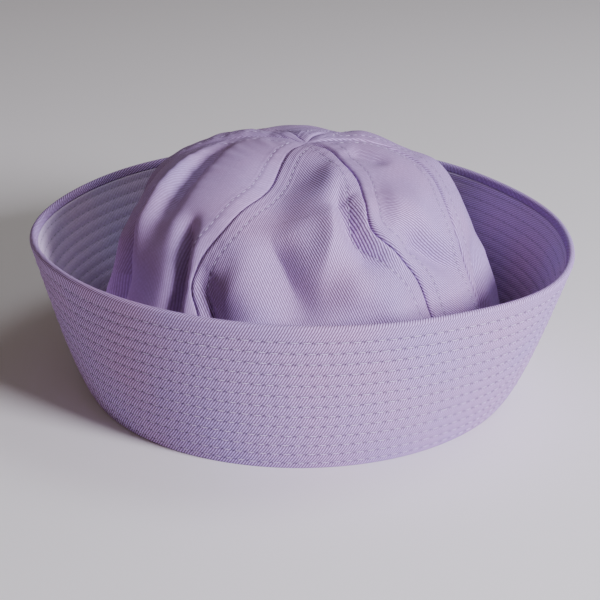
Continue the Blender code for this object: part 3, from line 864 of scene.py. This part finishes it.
def brimStitches(name, depth, outward, seed, share, radius, look):
    # rows round the brim: a stitch starts at each whole number of steps, covers a share of its step
    # and strays a little
    chance = np.random.default_rng(seed + stitch["straySeed"])
    starts, ends = [], []
    for slope, count, offset in zip(rowSlopes, *rowSteps(seed)):
        step = 2 * np.pi / count
        first = (np.arange(int(count)) + offset) * step
        stray = chance.normal(0, stitch["stray"], len(first))
        for at, keep in ((first, starts), (first + step * share, ends)):
            rowSlope = slope + stray
            dip = depth + outward * -quiltRelief(at, rowSlope, brim["quiltSeed"])
            keep.append(brimPoint(at, rowSlope, dip) - centre)
    starts, ends = np.concatenate(starts), np.concatenate(ends)
    radial = (starts + ends) / 2 + centre
    bearing = np.arctan2(radial[:, 0], -radial[:, 1])
    flare = brimFlare(bearing)
    outs = np.stack([np.cos(flare) * np.sin(bearing), -np.cos(flare) * np.cos(bearing), -np.sin(flare)],
                    axis=-1)
    makeStitches(name, starts, ends, outs * outward, radius, look)


brimStitches("stitchesBrimOutside", 0.0, 1.0, brim["outerSeed"], stitch["outsideShare"],
             stitch["brimRadius"], threadLook)
brimStitches("stitchesBrimInside", thickness, -1.0, brim["innerSeed"], stitch["insideShare"],
             stitch["insideRadius"], innerThread)


def crownStitches():
    # a row on each side of every seam, set in by the band's width; its holes are those of the map of
    # rows, at whole numbers of stitches along the seam
    starts, ends, outs = [], [], []
    fine = np.linspace(seam["lowStitch"], seam["highStitch"], seam["stitchSamples"])
    radius, _, sideLength = crownSide(fine)
    for index in range(6):
        line = seamBearing(index, fine)
        offset = seam["band"] / (radius * seamLean(line, fine * sideLength, radius))
        travel = seamTravel(index, fine)
        count = np.arange(np.ceil(travel[0] / seam["stitchPitch"]),
                          np.floor(travel[-1] / seam["stitchPitch"]))
        for side, gore in ((1, index), (-1, (index + 5) % 6)):
            turn = 2 * np.pi * (gore > index)
            first, last = seamBearing(gore, fine), seamBearing(gore + 1, fine)
            bearing = line + side * offset + turn
            path = goreSurface(gore, bearing[:, None], fine[:, None], first[:, None], last[:, None])[:, 0]
            turnStep, slopeStep = cap["turnStep"], cap["slopeStep"]
            over = crownFace(bearing + turnStep, fine, 0.0) - crownFace(bearing - turnStep, fine, 0.0)
            up = crownFace(bearing, fine + slopeStep, 0.0) - crownFace(bearing, fine - slopeStep, 0.0)
            normal = np.cross(over, up)
            normal /= np.linalg.norm(normal, axis=-1, keepdims=True)
            roomy = ((last - first) * radius > seam["narrowStitch"] * seam["band"]).astype(float)
            holes = count[np.interp(count * seam["stitchPitch"], travel, roomy) > 0.5]
            for shift, keep, values in ((0.0, starts, path), (seam["stitchShare"], ends, path),
                                        (seam["stitchShare"] / 2, outs, normal)):
                at = np.interp((holes + shift) * seam["stitchPitch"], travel, fine)
                keep.append(np.stack([np.interp(at, fine, values[:, axis]) for axis in range(3)], axis=-1))
    starts, ends, outs = np.concatenate(starts), np.concatenate(ends), np.concatenate(outs)
    makeStitches("stitchesCrown", starts - centre, ends - centre, outs, stitch["crownRadius"],
                 threadLook)


crownStitches()
print("stitches made")


# Floor, light and camera

studio = {
    "floorSize": 6.0,
    "floorColour": (0.90, 0.88, 0.88, 1),
    "floorRoughness": 0.9,
    "world": (1.0, 0.87, 0.75, 1),
    "worldStrength": 0.13,
    "view": (0.0, 0.0, 0.0322),     # what the camera looks at, from the middle of the lower edge
    "distance": 0.70,
    "elevation": 23.27,
    "focalPixels": 1573,            # the lens's focal length in the photo's pixels
    "photoPixels": 600,             # across the photo
    "sensor": 36.0,
    "lampAim": (0, 0, 0.05),        # what the lamps point at
}

lamps = [                       # name, place, size, power, colour
    ("keyLight", (0.96, -0.85, 0.55), 0.36, 36.0, (0.91, 0.89, 1.0)),
    ("fillLight", (-1.15, -0.45, 0.30), 0.9, 0.8, (1.0, 0.70, 0.52)),
    ("topLight", (0.62, 0.15, 1.18), 0.5, 4.2, (0.88, 0.92, 1.0)),
]


def makeFloor():
    # a plain pale square at height 0
    bpy.ops.mesh.primitive_plane_add(size=studio["floorSize"], location=(0, 0, 0))
    floor = bpy.context.object
    floor.name = "floor"
    look = bpy.data.materials.new("paleFloor")
    look.use_nodes = True
    shader = look.node_tree.nodes["Principled BSDF"]
    shader.inputs["Base Color"].default_value = studio["floorColour"]
    shader.inputs["Roughness"].default_value = studio["floorRoughness"]
    floor.data.materials.append(look)


def makeLights():
    # an even soft light from all round, and square lamps that face the cap
    world = bpy.data.worlds.new("studioAir")
    bpy.context.scene.world = world
    world.use_nodes = True
    air = world.node_tree.nodes["Background"]
    air.inputs[0].default_value = studio["world"]
    air.inputs[1].default_value = studio["worldStrength"]
    for name, place, size, power, colour in lamps:
        lamp = bpy.data.lights.new(name, "AREA")
        lamp.size = size
        lamp.energy = power
        lamp.color = colour
        holder = bpy.data.objects.new(name, lamp)
        holder.location = place
        aim = Vector(studio["lampAim"]) - Vector(place)
        holder.rotation_euler = aim.to_track_quat("-Z", "Y").to_euler()
        bpy.context.scene.collection.objects.link(holder)


def makeCamera():
    # its focal length is focalPixels / photoPixels * sensor, and it stands at its distance from what
    # it looks at, in front and up by its elevation
    lens = bpy.data.cameras.new("camera")
    lens.sensor_width = studio["sensor"]
    lens.lens = studio["focalPixels"] / studio["photoPixels"] * studio["sensor"]
    camera = bpy.data.objects.new("camera", lens)
    lean = np.radians(studio["elevation"])
    target = Vector(studio["view"]) - Vector(centre)
    back = Vector((0.0, -np.cos(lean), np.sin(lean)))
    camera.location = target + back * studio["distance"]
    camera.rotation_euler = (-back).to_track_quat("-Z", "Y").to_euler()
    bpy.context.scene.collection.objects.link(camera)
    bpy.context.scene.camera = camera


makeFloor()
makeLights()
makeCamera()
print("studio made")
